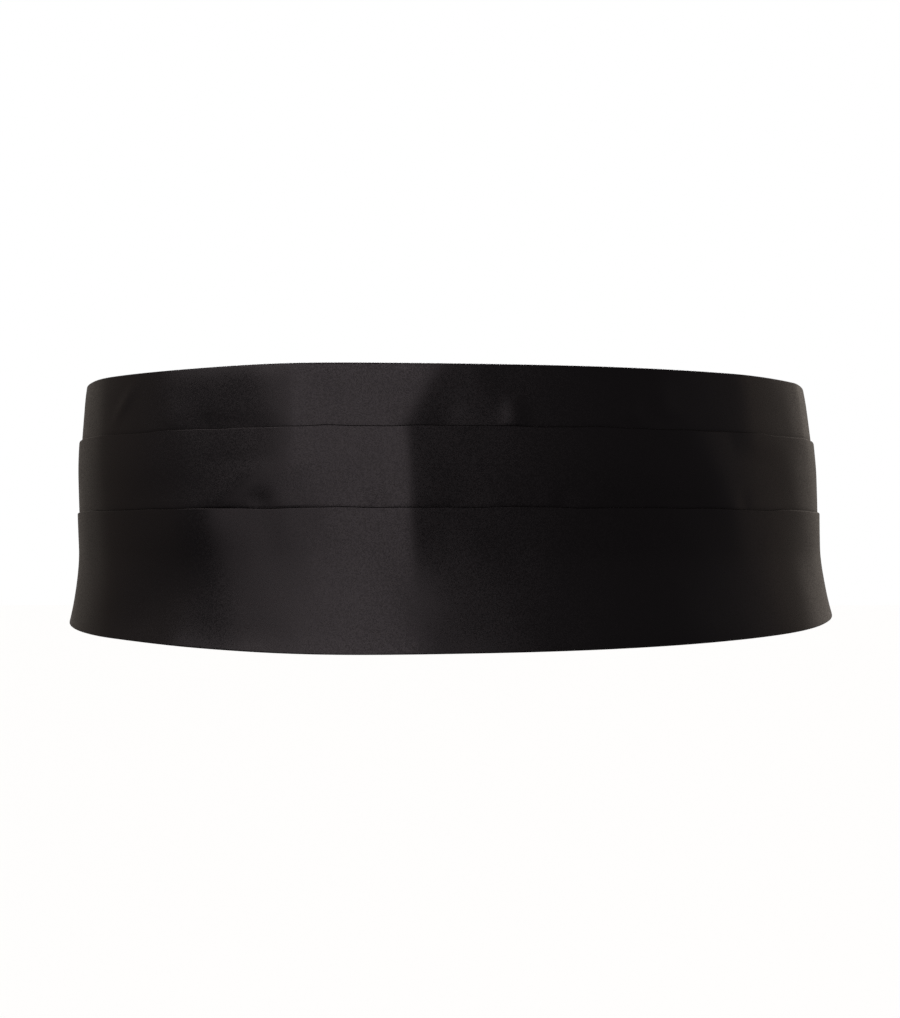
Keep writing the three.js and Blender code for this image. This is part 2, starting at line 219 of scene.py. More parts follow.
def waistLine():
    turn = np.linspace(-math.pi, math.pi, 7201)
    power = 2 / figure["squareness"]
    x = figure["halfBreadth"] * np.sign(np.sin(turn)) * np.abs(np.sin(turn)) ** power
    y = -figure["halfDepth"] * np.sign(np.cos(turn)) * np.abs(np.cos(turn)) ** power
    length = np.concatenate([[0], np.cumsum(np.hypot(np.diff(x), np.diff(y)))])
    alongLine = length - length[-1] / 2  # 0 at the centre front
    return alongLine, x, y, np.gradient(x, alongLine), np.gradient(y, alongLine)


lineAlong, lineX, lineY, lineTangentX, lineTangentY = waistLine()
girth = lineAlong[-1] * 2


def lerp(a, b, share):
    return a + (b - a) * share


def easeIn(share):
    share = np.clip(share, 0, 1)
    return share * share * (3 - 2 * share)


def onFigure(along, out, z):
    # points at distances along the waist, out from the figure, at heights
    along, out, z = np.broadcast_arrays(along, out, z)
    share = np.maximum(0, np.abs(z) - figure["upright"]) / figure["reach"]
    slope = np.where(z > 0, -figure["lean"], figure["flare"])
    change = slope * (np.hypot(share, figure["ease"]) - figure["ease"])
    scale = 1 + change / figure["halfBreadth"]
    tangentX = np.interp(along, lineAlong, lineTangentX)
    tangentY = np.interp(along, lineAlong, lineTangentY)
    size = np.hypot(tangentX, tangentY)
    x = np.interp(along, lineAlong, lineX) * scale + tangentY / size * out
    y = np.interp(along, lineAlong, lineY) * scale - tangentX / size * out
    x = x - figure["sway"] * z * (1 - y / figure["halfDepth"])
    return np.stack([x, y, z], axis=-1)


def onBack(fromBack, out, z):
    # the same, from the centre back, positive on the +X side
    fromBack = np.asarray(fromBack, dtype=float)
    side = np.where(fromBack < 0, -1, 1)
    return onFigure(side * (girth / 2 - np.abs(fromBack)), out, z)


def bend(x, y, radius, start, end, steps):
    # an arc, its angles in half turns
    angles = np.linspace(start, end, steps + 1) * math.pi
    return [(x + radius * math.cos(a), y + radius * math.sin(a)) for a in angles]


def easedRun(x0, y0, x1, y1, count):
    # a soft S from one place to another, its two ends left out
    shares = [(i + 1) / (count + 1) for i in range(count)]
    return [(x0 + (x1 - x0) * s, y0 + (y1 - y0) * float(easeIn(s))) for s in shares]


def filled(route, spacing):
    # puts points on the long stretches of a route
    route = np.array(route, dtype=float)
    points = [route[0]]
    for a, b in zip(route, route[1:]):
        count = max(1, round(math.hypot(b[0] - a[0], b[1] - a[1]) / spacing))
        points += [lerp(a, b, k / count) for k in range(1, count + 1)]
    return np.array(points)


def finishedPiece(name, bm, material):
    # smooth, at the origin and in the scene
    for face in bm.faces:
        face.smooth = True
    mesh = bpy.data.meshes.new(name)
    bm.to_mesh(mesh)
    bm.free()
    piece = bpy.data.objects.new(name, mesh)
    bpy.context.scene.collection.objects.link(piece)
    piece.data.materials.append(material)
    return piece


def addWall(piece, thickness):
    wall = piece.modifiers.new("wall", "SOLIDIFY")
    wall.thickness = thickness * mm
    wall.offset = 0
    return wall


def sheetObject(name, places, across, down, thickness, material):
    # a grid whose rows run round the figure. places: rows x columns x 3, in mm. across, down: where each point
    # was on the flat cloth, in mm
    rows, columns = places.shape[:2]
    bm = bmesh.new()
    bmesh.ops.create_grid(bm, x_segments=columns - 1, y_segments=rows - 1, size=0.5)
    bm.verts.ensure_lookup_table()
    uvLayer = bm.loops.layers.uv.new("cloth")
    flat = {}
    for v in bm.verts:
        column = round((v.co.x + 0.5) * (columns - 1))
        row = round((v.co.y + 0.5) * (rows - 1))
        v.co = places[row, column] * mm
        flat[v.index] = (across[row, column] * mm, down[row, column] * mm)
    for face in bm.faces:
        for loop in face.loops:
            loop[uvLayer].uv = flat[loop.vert.index]
    piece = finishedPiece(name, bm, material)
    addWall(piece, thickness)
    return piece


frontPanel = {
    "half": 300, "cloth": 0.42, "gap": 0.04, "underlap": 12, "turnIn": 13,
    "upperStep": 1.1, "lowerStep": 0.8,  # how far each pleat stands out from the band above it
    "upperDip": 0.35, "lowerDip": 0.1,  # how far that band sinks in behind the pleat's edge
    "dipFrom": 1.5, "dipKnee": 0.7, "sunkTo": 4,  # heights from that edge
    "dipAtKnee": 0.25,  # the share of the dip there
    "turnSteps": 8, "valleySteps": 6, "stations": 320, "spacing": 2.1, "fade": 8,
    "side": 218, "taperFrom": 205, "swellAt": -62, "swellReach": 48,
}
panelLines = {  # front, side, tilt, swell, end
    "top": (61.8, 7.2, -0.6, 0.9, 28),
    "upperPleat": (36.2, 5.7, -0.3, 0.3, 14),
    "lowerPleat": (2.5, 2.8, 0, 0, -1.5),
    "hem": (-57.4, -12, 1.9, -0.9, -28),
}
top, middle, lower, every = 0, 1, 2, None
softRidges = [  # band, at the knee, knee height, slant above and below it, rise, reach, roundness, low, high
    (top, -15.5, 38, 0.65, 0.5, 1.1, 50, 0.08, 34, 62),
    (top, -64, 0, 0, 0, 1.75, 46, 0.1, 34, 62),
    (top, 136, 0, 0, 0, 1.3, 30, 0.16, 34, 64),
    (top, 183, 0, 0, 0, 0.8, 24, 0.1, 34, 64),
    (top, -232, 20, 0.3, 0, 0.8, 34, 0.3, 20, 60),
    (top, 238, 20, -0.2, 0, 0.7, 30, 0.3, 20, 60),
    (middle, -15.5, 0, 0, 0, 1.8, 52, 0.04, 0, 40),
    (middle, -67.5, 22, 0, 1.75, 1.4, 46, 0.1, 0, 40),
    (middle, -113, 0, 0, 0, 0.25, 15, 0.4, 0, 40),
    (middle, 125, 0, -0.45, -0.45, 1.3, 40, 0.12, 0, 40),
    (middle, -226, 0, 0.2, 0.2, 0.3, 36, 0.25, -10, 40),
    (middle, 243, 0, -0.3, -0.3, 0.8, 32, 0.25, -10, 40),
    (lower, -12, 0, 0, 0, 0.5, 46, 0.25, -64, 6),
    (lower, -39, 0, 0, 0, 0.2, 18, 0.3, -24, 6),
    (lower, 129, 0, -0.35, -0.35, 0.8, 40, 0.3, -62, 6),
    (lower, -240, 0, 0.15, 0.15, 0.9, 34, 0.2, -64, 6),
    (lower, 231, 0, -0.25, -0.25, 0.8, 36, 0.2, -64, 6),
    (every, -161, 0, -0.1, -0.1, 0.9, 30, 0.15, -62, 64),
]
smallCreases = [  # band, at, height, length, lean in degrees, width, depth
    (top, 1, 41, 15, 0, 8, 0.35),
    (top, 29.8, 41, 12, 0, 5, -0.6),
    (top, -84, 62, 44, 0, 26, -0.9),
    (top, -103.4, 36, 12, 0, 5, 0.35),
    (top, -121, 41, 10, 20, 6, -0.15),
    (top, -149, 47, 18, 40, 2.2, -0.55),
    (top, -58, 37, 8, 0, 3, 0.3),
    (top, -88, 37, 7, 0, 22, 0.3),
    (top, 5, 37, 7, 0, 12, 0.3),
    (top, 78, 37, 6, 0, 5, 0.35),
    (top, 97, 37, 6, 0, 8, 0.35),
    (top, 15.4, 57, 14, 0, 4, -0.08),
    (top, 19, 49, 12, -20, 4, -0.08),
    (top, 80, 42, 16, 15, 4, -0.4),
    (top, 94, 49, 16, -20, 6, -0.4),
    (middle, -78, 4, 9, 0, 5, 0.4),
    (middle, -28, 4, 9, 0, 4, 0.4),
    (middle, 2, 3, 7, 0, 10, 0.25),
    (middle, 48, 4, 8, 0, 4, 0.35),
    (middle, 72, 4, 8, 0, 9, 0.35),
    (middle, 98, 4, 8, 0, 14, 0.3),
    (middle, 129.5, 4, 8, 0, 3, 0.3),
    (lower, -75, -8, 22, 0, 5, 0.12),
    (lower, -126, -38, 90, 50, 17, 1.9),
    (lower, -112, -4, 80, 0, 26, -0.85),
    (lower, -105, -16, 62, 0, 17, -1.3),
    # at the sides and ends
    (top, 214, 30, 26, 25, 4, 0.25),
    (top, -209, 34, 24, -20, 4, 0.2),
    (top, 262, 22, 20, 60, 3, 0.25),
    (top, -258, 24, 22, -60, 3, 0.25),
    (middle, 205, 14, 26, 30, 5, 0.25),
    (middle, -201, 12, 24, -35, 5, 0.2),
    (middle, 262, 5, 22, 70, 3, 0.25),
    (middle, -266, 4, 20, -65, 3, 0.25),
    (lower, 210, -14, 34, 20, 6, 0.25),
    (lower, -214, -18, 30, -15, 6, 0.25),
    (lower, 256, -14, 26, -60, 4, 0.3),
    (lower, -259, -12, 26, 60, 4, 0.3),
]
softWaves = [  # length round, length up, height, phase
    (71, 260, 0.05, 0.4), (47, 95, 0.03, 2.1), (33, -70, 0.025, 4.4), (24, 41, 0.02, 1.3),
]
edgeRolls = [("top", -0.25, 8), ("hem", 0.45, 11)]  # line, how far it rolls out, over what height
pleatWaves = [(61, 0.16, 0.9), (37, 0.12, 3.3), (19, 0.07, 5.2)]  # length, height, phase
waveReach, lowerPace = 9, 0.87  # how far from the edge they reach, and their pace at the lower pleat
pushedBands = [(middle, "upperPleat", 14), (lower, "lowerPleat", 42)]  # band, its pleat, how far down it shows
tuckedShare, deepShare = 0.7, 0.9  # the way to the next band, just under a pleat's edge and lower down


def lineHeight(name, along):
    front, side, tilt, swell, end = panelLines[name]
    sideShare = along / frontPanel["side"]
    full = np.exp(-((along - frontPanel["swellAt"]) / frontPanel["swellReach"]) ** 2)
    worn = front - side * sideShare ** 2 + tilt * sideShare + swell * full
    tapered = easeIn((np.abs(along) - frontPanel["taperFrom"]) / (frontPanel["half"] - frontPanel["taperFrom"]))
    return worn + (end - worn) * tapered


def carriedHeight(frontHeight, along):
    # where a height at the centre front has gone to, further round
    order = ["hem", "lowerPleat", "upperPleat", "top"]
    fronts = [panelLines[n][0] for n in order]
    above = np.clip(np.searchsorted(fronts, frontHeight), 1, 3)
    heights = np.array([lineHeight(n, along) for n in order])
    fronts = np.array(fronts)
    share = (frontHeight - fronts[above - 1]) / (fronts[above] - fronts[above - 1])
    low = np.take_along_axis(heights, (above - 1)[None], 0)[0]
    high = np.take_along_axis(heights, above[None], 0)[0]
    return low + (high - low) * share


def ridgeShape(x, roundness):
    # 1 on the ridge, 0 at its reach: straight sides that ease out, and a rounded top
    spread = (np.hypot(x, roundness) - roundness) / (math.hypot(1, roundness) - roundness)
    return np.clip(1 - spread, 0, 1) ** 2


def ridgesOf(band, along, z):
    # how far the ridges lift one band off a smooth fit
    out = np.zeros_like(along)
    fade = frontPanel["fade"]
    for which, at, knee, above, below, rise, reach, roundness, low, high in softRidges:
        if which in (band, every):
            inBand = easeIn((z - low + fade) / fade) * easeIn((high + fade - z) / fade)
            crest = at + np.where(z > knee, above, below) * (z - knee)
            out += rise * ridgeShape((along - crest) / reach, roundness) * inBand
    return out


def creasesOf(band, along, z):
    out = np.zeros_like(along)
    for which, at, height, length, lean, width, depth in smallCreases:
        if which == band:
            c, s = math.cos(math.radians(lean)), math.sin(math.radians(lean))
            across = (along - at) * c - (z - height) * s
            alongside = (along - at) * s + (z - height) * c
            out -= depth * np.exp(-(across / width) ** 2 - (2 * alongside / length) ** 2)
    return out


def bulge(along, z, bands):
    # how far the cloth lies off a smooth fit. bands: 0 in the top band, 1 in the middle one, 2 in the lower
    # one, and between those where one goes under the next
    each = np.array([ridgesOf(k, along, z) for k in (top, middle, lower)])
    for band, line, reach in pushedBands:
        edge = lineHeight(line, along)
        pushed = np.maximum(each[band], ridgesOf(band - 1, along, edge))  # out, by the band tucked under it
        each[band] = lerp(each[band], pushed, easeIn(1 - (edge - z) / reach))
    each += np.array([creasesOf(k, along, z) for k in (top, middle, lower)])
    low = np.clip(np.floor(bands).astype(int), 0, 1)
    share = bands - low
    first = np.take_along_axis(each, low[None], 0)[0]
    second = np.take_along_axis(each, low[None] + 1, 0)[0]
    tucked = lerp(first, np.minimum(first, second), np.minimum(1, share / tuckedShare))
    out = np.where(share == 1, second, tucked)
    for roundLength, upLength, height, phase in softWaves:
        out += height * np.sin(2 * math.pi * (along / roundLength + z / upLength) + phase)
    for name, lift, reach in edgeRolls:
        fromEdge = np.abs(z - lineHeight(name, along)) / reach
        out += lift * np.clip(1 - fromEdge, 0, 1) ** 2
    return out


def panelSection():
    # the folded cloth, from the top's turned-in edge to the hem's: out from the figure, height at the front
    # and band
    layer = frontPanel["cloth"] + frontPanel["gap"]
    turn = layer / 2
    topBand = -frontPanel["cloth"] / 2
    middleBand = topBand + frontPanel["upperStep"]
    lowerBand = middleBand + frontPanel["lowerStep"]
    topEdge, upperPleat, lowerPleat, hem = (line[0] for line in panelLines.values())
    turnSteps, valleySteps = frontPanel["turnSteps"], frontPanel["valleySteps"]

    def inBand(points, band):
        return [(x, y, band) for x, y in points]

    def fold(height, above, below, dip, band):
        under = below - 2 * layer - dip
        valley = height - frontPanel["underlap"]
        knee = lerp(above, under, frontPanel["dipAtKnee"])
        return [
            (above, height + frontPanel["dipFrom"], band),
            (knee, height + frontPanel["dipKnee"], band),
            (under, height - turn, band + tuckedShare),
            (under, height - frontPanel["sunkTo"], band + deepShare),
            *inBand(bend(under + turn, valley, turn, -1, 0, valleySteps), band + 1),
            *inBand(bend(below - turn, height - turn, turn, 1, 0, turnSteps), band + 1),
            (below, height - 2 * turn, band + 1),
        ]

    return [
        (topBand - 2 * turn, topEdge - frontPanel["turnIn"], top),
        (topBand - 2 * turn, topEdge - 2 * turn, top),
        *inBand(bend(topBand - turn, topEdge - turn, turn, 1, 0, turnSteps), top),
        (topBand, topEdge - 2 * turn, top),
        *fold(upperPleat, topBand, middleBand, frontPanel["upperDip"], top),
        *fold(lowerPleat, middleBand, lowerBand, frontPanel["lowerDip"], middle),
        (lowerBand, hem + 2 * turn, lower),
        *inBand(bend(lowerBand - turn, hem + turn, turn, 0, -1, turnSteps), lower),
        (lowerBand - 2 * turn, hem + 2 * turn, lower),
        (lowerBand - 2 * turn, hem + frontPanel["turnIn"], lower),
    ]


def makeFrontPanel(material):
    section = filled(panelSection(), frontPanel["spacing"])
    stations = np.linspace(-frontPanel["half"], frontPanel["half"], frontPanel["stations"] + 1)
    along, out = np.meshgrid(stations, section[:, 0])
    _, frontHeight = np.meshgrid(stations, section[:, 1])
    z = carriedHeight(frontHeight, along)
    nearUpper = np.exp(-((frontHeight - panelLines["upperPleat"][0]) / waveReach) ** 2)
    nearLower = np.exp(-((frontHeight - panelLines["lowerPleat"][0]) / waveReach) ** 2)
    for length, height, phase in pleatWaves:
        z = z + height * nearUpper * np.sin(2 * math.pi * along / length + phase)
        z = z + height * nearLower * np.sin(2 * math.pi * along / length * lowerPace - phase)
    bands = np.repeat(section[:, 2:], len(stations), 1)
    places = onFigure(along, out + bulge(along, z, bands), z)
    steps = np.hypot(np.diff(out, axis=0), np.diff(z, axis=0))
    down = np.vstack([np.zeros(len(stations)), np.cumsum(steps, axis=0)])
    depths = down[-1]  # how deep the cloth is cut at each station: less towards the ends
    piece = sheetObject("satinFront", places, along, down - depths / 2, frontPanel["cloth"], material)
    area = np.sum(depths[1:] + depths[:-1]) / 2 * (stations[1] - stations[0])
    return piece, float(depths.max()), float(depths[0]), float(area)


satinFront, panelCut, endCut, panelArea = makeFrontPanel(wovenSatin())
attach(satinFront, "root")
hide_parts("front_panel")
print("front panel made, cut", round(panelCut), "mm deep,", round(endCut), "at its ends")


webbing = {
    "width": 30, "cloth": 1.1, "layer": 1.5, "crown": 0.12, "out": -3.4, "sewnOut": -1.6,
    "overlap": 16, "clearBy": 2.6,  # sewn in the panel, and clear of it after so many overlaps
    "tail": 26, "beforeSlider": 14, "halfOnBar": 1, "endLap": 1.5, "endSink": 0.2,
    "spacing": 1.5, "rows": 14, "shortRun": 8, "longRun": 12, "turnSteps": 16,
}
metal = {
    "sheet": 1.2, "barWidth": 2.4, "wire": 1.6, "rise": 36.8, "slotRise": 31.6, "corner": 2.2,
    "tongue": 14, "shoulder": 3, "rail": 2.4, "hookSlot": 2.8, "lip": 6,
    "sliderRim": 0.3, "eyeRim": 0.66, "hookRim": 0.25,
}
strapStart = girth / 2 - frontPanel["half"] + webbing["overlap"]
barTurn, eyeTurn, underSlider = 2.2416, 2.0314, 1.5  # from a bar's middle to the middle of a layer round it
hookBar, eyeBar, hookTip = 12, -14, -4  # from the centre back
sliderMiddle, sliderPitch = 56, 11
hookOut = webbing["out"] + barTurn
eyeOut = hookOut - eyeTurn
sliderOut = webbing["out"] + webbing["layer"] + underSlider


def eyeStrapRoute():
    # from the panel, round the eye's bar and back to a short tail
    out, sewnOut, overlap, tail = (webbing[n] for n in ("out", "sewnOut", "overlap", "tail"))
    clear = -strapStart + webbing["clearBy"] * overlap
    return [
        (-strapStart, sewnOut), (-strapStart + overlap, sewnOut),
        *easedRun(-strapStart + overlap, sewnOut, clear, out, webbing["shortRun"]),
        (clear, out), (eyeBar - tail, out),
        *easedRun(eyeBar - tail, out, eyeBar, eyeOut + eyeTurn, webbing["longRun"]),
        *bend(eyeBar, eyeOut, eyeTurn, 0.5, -0.5, webbing["turnSteps"]),
        (eyeBar - tail, eyeOut - eyeTurn),
    ]


def sliderStrapRoute():
    # from the panel, through the slider, round the hook's bar and back round the slider's middle bar
    near, far = sliderMiddle - sliderPitch, sliderMiddle + sliderPitch
    onBar, offBar = sliderMiddle + webbing["halfOnBar"], sliderMiddle - webbing["halfOnBar"]
    underBar = sliderOut - underSlider
    overBar = sliderOut + barTurn + webbing["layer"]
    out, sewnOut, overlap = webbing["out"], webbing["sewnOut"], webbing["overlap"]
    clear = strapStart - webbing["clearBy"] * overlap
    shortRun, longRun, turnSteps = webbing["shortRun"], webbing["longRun"], webbing["turnSteps"]
    return [
        (strapStart, sewnOut), (strapStart - overlap, sewnOut),
        *easedRun(strapStart - overlap, sewnOut, clear, out, shortRun),
        (clear, out), (far + webbing["beforeSlider"], out),
        *easedRun(far + webbing["beforeSlider"], out, far, underBar, shortRun), (far, underBar),
        *easedRun(far, underBar, onBar, overBar, longRun), (onBar, overBar),
        (offBar, overBar),
        *easedRun(offBar, overBar, near, underBar, longRun), (near, underBar),
        *easedRun(near, underBar, hookBar, hookOut + barTurn, longRun),
        *bend(hookBar, hookOut, barTurn, 0.5, 1.5, turnSteps),
        (near, out), *easedRun(near, out, sliderMiddle, sliderOut - barTurn, shortRun),
        *bend(sliderMiddle, sliderOut, barTurn, -0.5, 0.5, turnSteps),
        (sliderMiddle - webbing["endLap"], sliderOut + barTurn - webbing["endSink"]),
    ]


def makeStrap(name, route, material):
    # a flat run of webbing, its edges a little lower than its middle
    centreline = filled(route, webbing["spacing"])
    lengths = np.concatenate([[0], np.cumsum(np.hypot(*np.diff(centreline, axis=0).T))])
    legs = np.gradient(centreline, axis=0)
    legs /= np.hypot(*legs.T)[:, None]
    half = webbing["width"] / 2
    down = np.linspace(-half, half, webbing["rows"])
    crown = webbing["crown"] * (1 - (down / half) ** 4)
    side = np.sign(centreline[0, 0])
    places = []
    for z, lift in zip(down, crown):
        fromBack = centreline[:, 0] + legs[:, 1] * lift * side
        out = centreline[:, 1] - legs[:, 0] * lift * side
        places.append(onBack(fromBack, out, np.full(len(centreline), z)))
    across = np.repeat(lengths[None], len(down), 0)
    downs = np.repeat(down[:, None], len(lengths), 1)
    piece = sheetObject(name, np.array(places), across, downs, webbing["cloth"], material)
    return piece, lengths[-1]


webbingCloth = wovenWebbing()
for strapName, node, route in (("webbingWithEye", "strap_with_eye", eyeStrapRoute()),
                               ("webbingWithSlider", "strap_with_slider", sliderStrapRoute())):
    strapPiece, strapLength = makeStrap(strapName, route, webbingCloth)
    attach(strapPiece, "root")
    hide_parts(node)
    print(strapName, "made, cut", round(strapLength), "mm long")


def plateObject(name, columns, rises, slots, place, thickness, rim, material):
    # a flat or bent plate, from a grid of cells. columns: (x, out) of each. rises: the four heights in each.
    # slots: the column and row of each cell that is cut out. place: where each point goes
    bm = bmesh.new()
    cells, rows = len(columns) - 1, len(rises[0]) - 1
    bmesh.ops.create_grid(bm, x_segments=cells, y_segments=rows, size=0.5)
    middles = [(face, face.calc_center_median()) for face in bm.faces]
    cutOut = [face for face, m in middles
              if (math.floor((m.x + 0.5) * cells), math.floor((m.y + 0.5) * rows)) in slots]
    bmesh.ops.delete(bm, geom=cutOut, context="FACES")
    for v in bm.verts:
        column, row = round((v.co.x + 0.5) * cells), round((v.co.y + 0.5) * rows)
        v.co = (*columns[column], rises[column][row])
    bmesh.ops.remove_doubles(bm, verts=bm.verts, dist=0.001)  # where two heights are the same, a cell closes
    bmesh.ops.recalc_face_normals(bm, faces=bm.faces)
    corners = [v for v in bm.verts if len(v.link_edges) == 2]
    bmesh.ops.bevel(bm, geom=corners, affect="VERTICES", offset=metal["corner"], segments=5, profile=0.5,
                    material=-1)
    for v in bm.verts:
        v.co = place(v.co)
    piece = finishedPiece(name, bm, material)
    addWall(piece, thickness).use_even_offset = True
    softened = piece.modifiers.new("rim", "BEVEL")
    softened.width = rim * mm
    softened.segments = 3
    softened.limit_method = "ANGLE"
    softened.angle_limit = math.radians(50)
    return piece


def onCentreBack(outOfPiece):
    return lambda co: (co.x * mm, (figure["halfDepth"] + outOfPiece + co.y) * mm, co.z * mm)


def onSliderPlace(co):
    before, centre, after = (onBack(sliderMiddle + d, sliderOut, 0.0) for d in (-1, 0, 1))
    ahead = (after - before) / np.linalg.norm(after - before)
    outwards = np.array([-ahead[1], ahead[0], 0])
    return (centre + ahead * co.x + outwards * co.y + np.array([0, 0, co.z])) * mm


def makeMetal(material):
    edge, slotEdge, tongue = metal["rise"] / 2, metal["slotRise"] / 2, metal["tongue"] / 2
    wide = [-edge, -slotEdge, slotEdge, edge]
    half = metal["barWidth"] / 2
    bars = [bar + side for bar in (-sliderPitch, 0, sliderPitch) for side in (-half, half)]
    slider = plateObject("threeBarSlider", [(x, 0) for x in bars], [wide] * 6, {(1, 1), (3, 1)},
                         onSliderPlace, metal["sheet"], metal["sliderRim"], material)
    wire = metal["wire"] / 2
    loop = [bar + side for bar in (eyeBar, hookTip) for side in (-wire, wire)]
    eyeRise = [-edge, -edge + 2 * wire, edge - 2 * wire, edge]
    eye = plateObject("wireEye", [(x, 0) for x in loop], [eyeRise] * 4, {(1, 1)},
                      onCentreBack(eyeOut), metal["wire"], metal["eyeRim"], material)
    slotEnd = hookBar - half
    slotStart = slotEnd - metal["hookSlot"]
    shoulder = slotStart - metal["rail"]
    curl = [(hookTip + metal["lip"], -2 * eyeTurn)] + bend(hookTip, -eyeTurn, eyeTurn, 1.5, 0.5, 14)
    flat = [(x, 0) for x in (shoulder - metal["shoulder"], shoulder, slotStart, slotEnd, hookBar + half)]
    narrow = [-tongue, -tongue, tongue, tongue]
    rises = [narrow] * (len(curl) + 1) + [[-edge, -tongue, tongue, edge]] + [wide] * 3
    hook = plateObject("pressedHook", curl + flat, rises, {(len(curl) + 2, 1)},
                       onCentreBack(hookOut), metal["sheet"], metal["hookRim"], material)
    return ((slider, "slider"), (eye, "eye"), (hook, "hook"))


for metalPiece, node in makeMetal(platedNickel()):
    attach(metalPiece, "root")
    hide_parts(node)
print("metal pieces made")


sewing = {
    "thread": 0.45, "proud": 0.08, "length": 2.3, "pitch": 3.1, "fromEnd": 3.2, "fromEdge": 2.5,
    "box": (286.5, 297, -12, 12), "tailRows": (4, 8), "tailHalf": 12.5,
    "slipSpacing": 8.5, "slipLength": 1.8, "slipPitch": 4, "slipRise": 0.9, "slipLean": 0.5, "slipFromEnd": 6,
}


def addStitch(bm, start, end, outward):
    # one stitch lying on the cloth: a long bead whose ends sink into it
    ahead = Vector(end - start) * mm
    centre = Vector((start + end) / 2 + outward * sewing["proud"]) * mm
    side = ahead.cross(Vector(outward)).normalized()
    thread = sewing["thread"] * mm
    shape = Matrix((side * thread, side.cross(ahead).normalized() * thread, ahead)).transposed().to_4x4()
    bmesh.ops.create_uvsphere(bm, u_segments=6, v_segments=5, radius=0.5,
                              matrix=Matrix.Translation(centre) @ shape)


def makeSewing(name, rows, length, pitch, material):
    # rows: start and end as (distance, height), and a function from those to a point and the way out there
    bm = bmesh.new()
    for start, end, place in rows:
        start, end = np.array(start, dtype=float), np.array(end, dtype=float)
        rowLength = np.linalg.norm(end - start)
        count = max(1, round(rowLength / pitch))
        step = (end - start) / count
        share = min(1, length * count / rowLength) / 2
        for k in range(count):
            centre = start + step * (k + 0.5)
            a, outward = place(*(centre - step * share))
            b, _ = place(*(centre + step * share))
            addStitch(bm, a, b, outward)
    bmesh.ops.recalc_face_normals(bm, faces=bm.faces)
    piece = finishedPiece(name, bm, material)
    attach(piece, "root")
    print(name, "made")


def wayOut(place, a, b, way):
    # the point, and the way out there, from two points at different distances out
    near, far = place(a, 0.0, b), place(a, 1.0, b)
    return near, (far - near) / np.linalg.norm(far - near) * way


def onPanelLayer(along, z, band, out, way):
    # on the face of the panel that is this far out before the ridges and creases
    proud = float(bulge(np.array([along]), np.array([z]), np.array([float(band)]))[0])
    return wayOut(lambda a, extra, b: onFigure(a, out + proud + extra, b), along, z, way)


def onPanel(along, z):
    # on the outer face of the panel
    band = sum(z <= lineHeight(pleat, along) for pleat in ("upperPleat", "lowerPleat"))  # top, middle or lower
    out = (0, frontPanel["upperStep"], frontPanel["upperStep"] + frontPanel["lowerStep"])[band]
    return onPanelLayer(along, z, band, out, 1)


def onTurnIn(along, z):
    # on the inner face, at the raw edges that are turned in
    band = top if z > 0 else lower
    out = 0 if band == top else frontPanel["upperStep"] + frontPanel["lowerStep"]
    return onPanelLayer(along, z, band, out - 2 * frontPanel["cloth"] - frontPanel["gap"], -1)


def onStrapFace(out, way):
    # on the outer or inner face of a strap whose middle is this far out
    face = out + way * webbing["cloth"] / 2
    return lambda fromBack, z: wayOut(lambda a, extra, b: onBack(a, face + extra, b), fromBack, z, way)


def boxOf(a, b, low, high, place):
    corners = [(a, low), (b, low), (b, high), (a, high)]
    return [(start, end, place) for start, end in zip(corners, corners[1:] + corners[:1])]


def makeAllSewing(material):
    ends, boxes, tails, slips = [], [], [], []
    near, far, low, high = sewing["box"]
    for side in (-1, 1):
        x = side * (frontPanel["half"] - sewing["fromEnd"])
        ends.append(((x, float(lineHeight("hem", np.array(x))) + sewing["fromEdge"]),
                     (x, float(lineHeight("top", np.array(x))) - sewing["fromEdge"]), onPanel))
        boxes += boxOf(side * near, side * far, low, high, onPanel)
        boxes += boxOf(side * (girth / 2 - near), side * (girth / 2 - far), low, high,
                       onStrapFace(webbing["sewnOut"], -1))
    for row in sewing["tailRows"]:
        x = eyeBar - webbing["tail"] + row
        outerOut = lerp(webbing["out"], eyeOut + eyeTurn, float(easeIn(row / webbing["tail"])))
        for out, way in ((eyeOut - eyeTurn, -1), (outerOut, 1)):
            tails.append(((x, -sewing["tailHalf"]), (x, sewing["tailHalf"]), onStrapFace(out, way)))
    lastSlip = frontPanel["half"] - sewing["slipFromEnd"]
    for line, turned in (("top", -1), ("hem", 1)):
        rawEdge = np.array([panelLines[line][0] + turned * frontPanel["turnIn"]])
        for x in np.arange(-lastSlip, lastSlip, sewing["slipSpacing"]):
            z = float(carriedHeight(rawEdge, np.array([x]))[0])
            slips.append(((x, z - sewing["slipRise"]),
                          (x + sewing["slipLean"], z + sewing["slipRise"]), onTurnIn))
    makeSewing("endTopstitching", ends, sewing["length"], sewing["pitch"], material)
    makeSewing("strapBoxStitching", boxes, sewing["length"], sewing["pitch"], material)
    makeSewing("eyeTailStitching", tails, sewing["length"], sewing["pitch"], material)
    makeSewing("hemSlipStitching", slips, sewing["slipLength"], sewing["slipPitch"], material)


makeAllSewing(spunThread())


stage = {
    "floorHeight": -0.9, "floorSize": 30, "floorColour": "#f4f4f4", "floorGlow": 0.9,
    "cameraSide": 0.0006, "cameraDistance": 1.5, "cameraHeight": 0.0018, "lens": 118.6,
}


